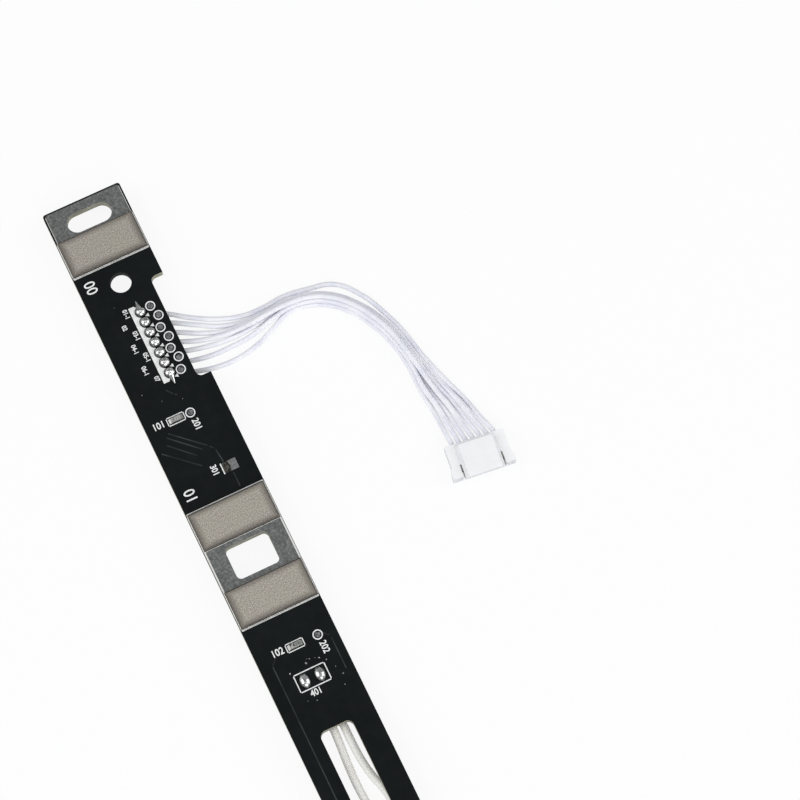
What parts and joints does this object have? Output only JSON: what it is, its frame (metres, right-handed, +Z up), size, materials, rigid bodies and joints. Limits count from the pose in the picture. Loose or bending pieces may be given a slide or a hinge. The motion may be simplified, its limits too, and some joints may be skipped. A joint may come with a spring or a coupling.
{
  "type": "battery management board",
  "caption": "Long black strip board with tinned cell terminals and weld blocks, a soldered white wire harness to a crimp connector, and a thermistor under it.",
  "frame": {"origin": "on the surface that the board lies on, below the middle of the strip", "axes": "+Y along the strip towards terminal 0, +X across it towards the harness, +Z up out of the component side"},
  "size_m": [0.0548, 0.2768, 0.0044],
  "materials": {
    "solder_mask_board": "glossy black solder mask over glass epoxy",
    "tinned_copper": "bright mottled tin over copper",
    "nickel_plate": "matt sanded nickel with polished edges",
    "solder": "bright soldered domes",
    "chip_ceramic": "grey chip body",
    "lead_insulation": "white sleeving",
    "thermistor_epoxy": "black epoxy",
    "wire_insulation": "white wire insulation",
    "connector_nylon": "moulded white nylon",
    "crimp_tin": "tin-plated phosphor bronze"
  },
  "bodies": {
    "root": {"circuit_board": "solder_mask_board", "terminal_land_0": "tinned_copper", "terminal_land_1": "tinned_copper", "terminal_land_2": "tinned_copper", "terminal_land_3": "tinned_copper", "terminal_land_4": "tinned_copper", "weld_block_0": "nickel_plate", "weld_block_1a": "nickel_plate", "weld_block_1b": "nickel_plate", "weld_block_2a": "nickel_plate", "weld_block_2b": "nickel_plate", "weld_block_3a": "nickel_plate", "weld_block_3b": "nickel_plate", "weld_block_4": "nickel_plate", "header_joint_1": "solder", "header_joint_2": "solder", "header_joint_3": "solder", "header_joint_4": "solder", "header_joint_5": "solder", "header_joint_6": "solder", "header_joint_7": "solder", "test_pads": "tinned_copper", "chip_resistor_1": "chip_ceramic", "chip_resistor_2": "chip_ceramic", "chip_resistor_3": "chip_ceramic", "chip_resistor_4": "chip_ceramic", "solder_jumper": "tinned_copper", "thermistor_joint_1": "solder", "thermistor_joint_2": "solder", "thermistor_lead_1": "lead_insulation", "thermistor_lead_2": "lead_insulation", "thermistor_body": "thermistor_epoxy", "wire_1": "wire_insulation", "wire_2": "wire_insulation", "wire_3": "wire_insulation", "wire_4": "wire_insulation", "wire_5": "wire_insulation", "wire_6": "wire_insulation", "wire_7": "wire_insulation", "connector_housing": "connector_nylon", "crimp_contact_1": "crimp_tin", "crimp_contact_2": "crimp_tin", "crimp_contact_3": "crimp_tin", "crimp_contact_4": "crimp_tin", "crimp_contact_5": "crimp_tin", "crimp_contact_6": "crimp_tin", "crimp_contact_7": "crimp_tin"}
  },
  "joints": []
}
